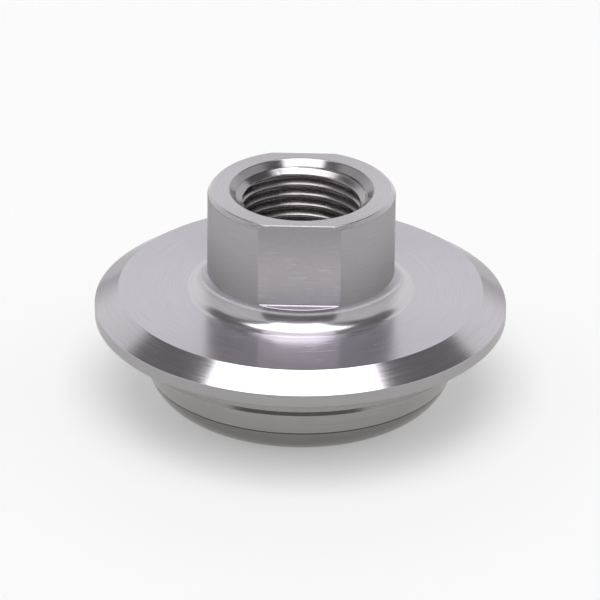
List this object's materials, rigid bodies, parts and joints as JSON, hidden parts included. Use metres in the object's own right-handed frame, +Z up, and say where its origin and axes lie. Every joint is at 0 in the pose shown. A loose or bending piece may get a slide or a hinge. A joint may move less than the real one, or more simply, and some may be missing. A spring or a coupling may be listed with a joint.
{
  "type": "sanitary clamp threaded adapter",
  "caption": "Round clamp flange with a tapered plug below it and a short hub above it, bored right through, with wrench flats and a female pipe thread in the hub.",
  "frame": {"origin": "centre of the plug's flat bottom face, on the turning axis", "axes": "+Z up along the turning axis towards the threaded hub, -Y towards the front wrench flat"},
  "size_m": [0.066, 0.066, 0.036],
  "materials": {
    "stainless_steel": "fine turned stainless steel with brushed flats"
  },
  "bodies": {
    "root": {"adapter_body": "stainless_steel"}
  },
  "joints": []
}
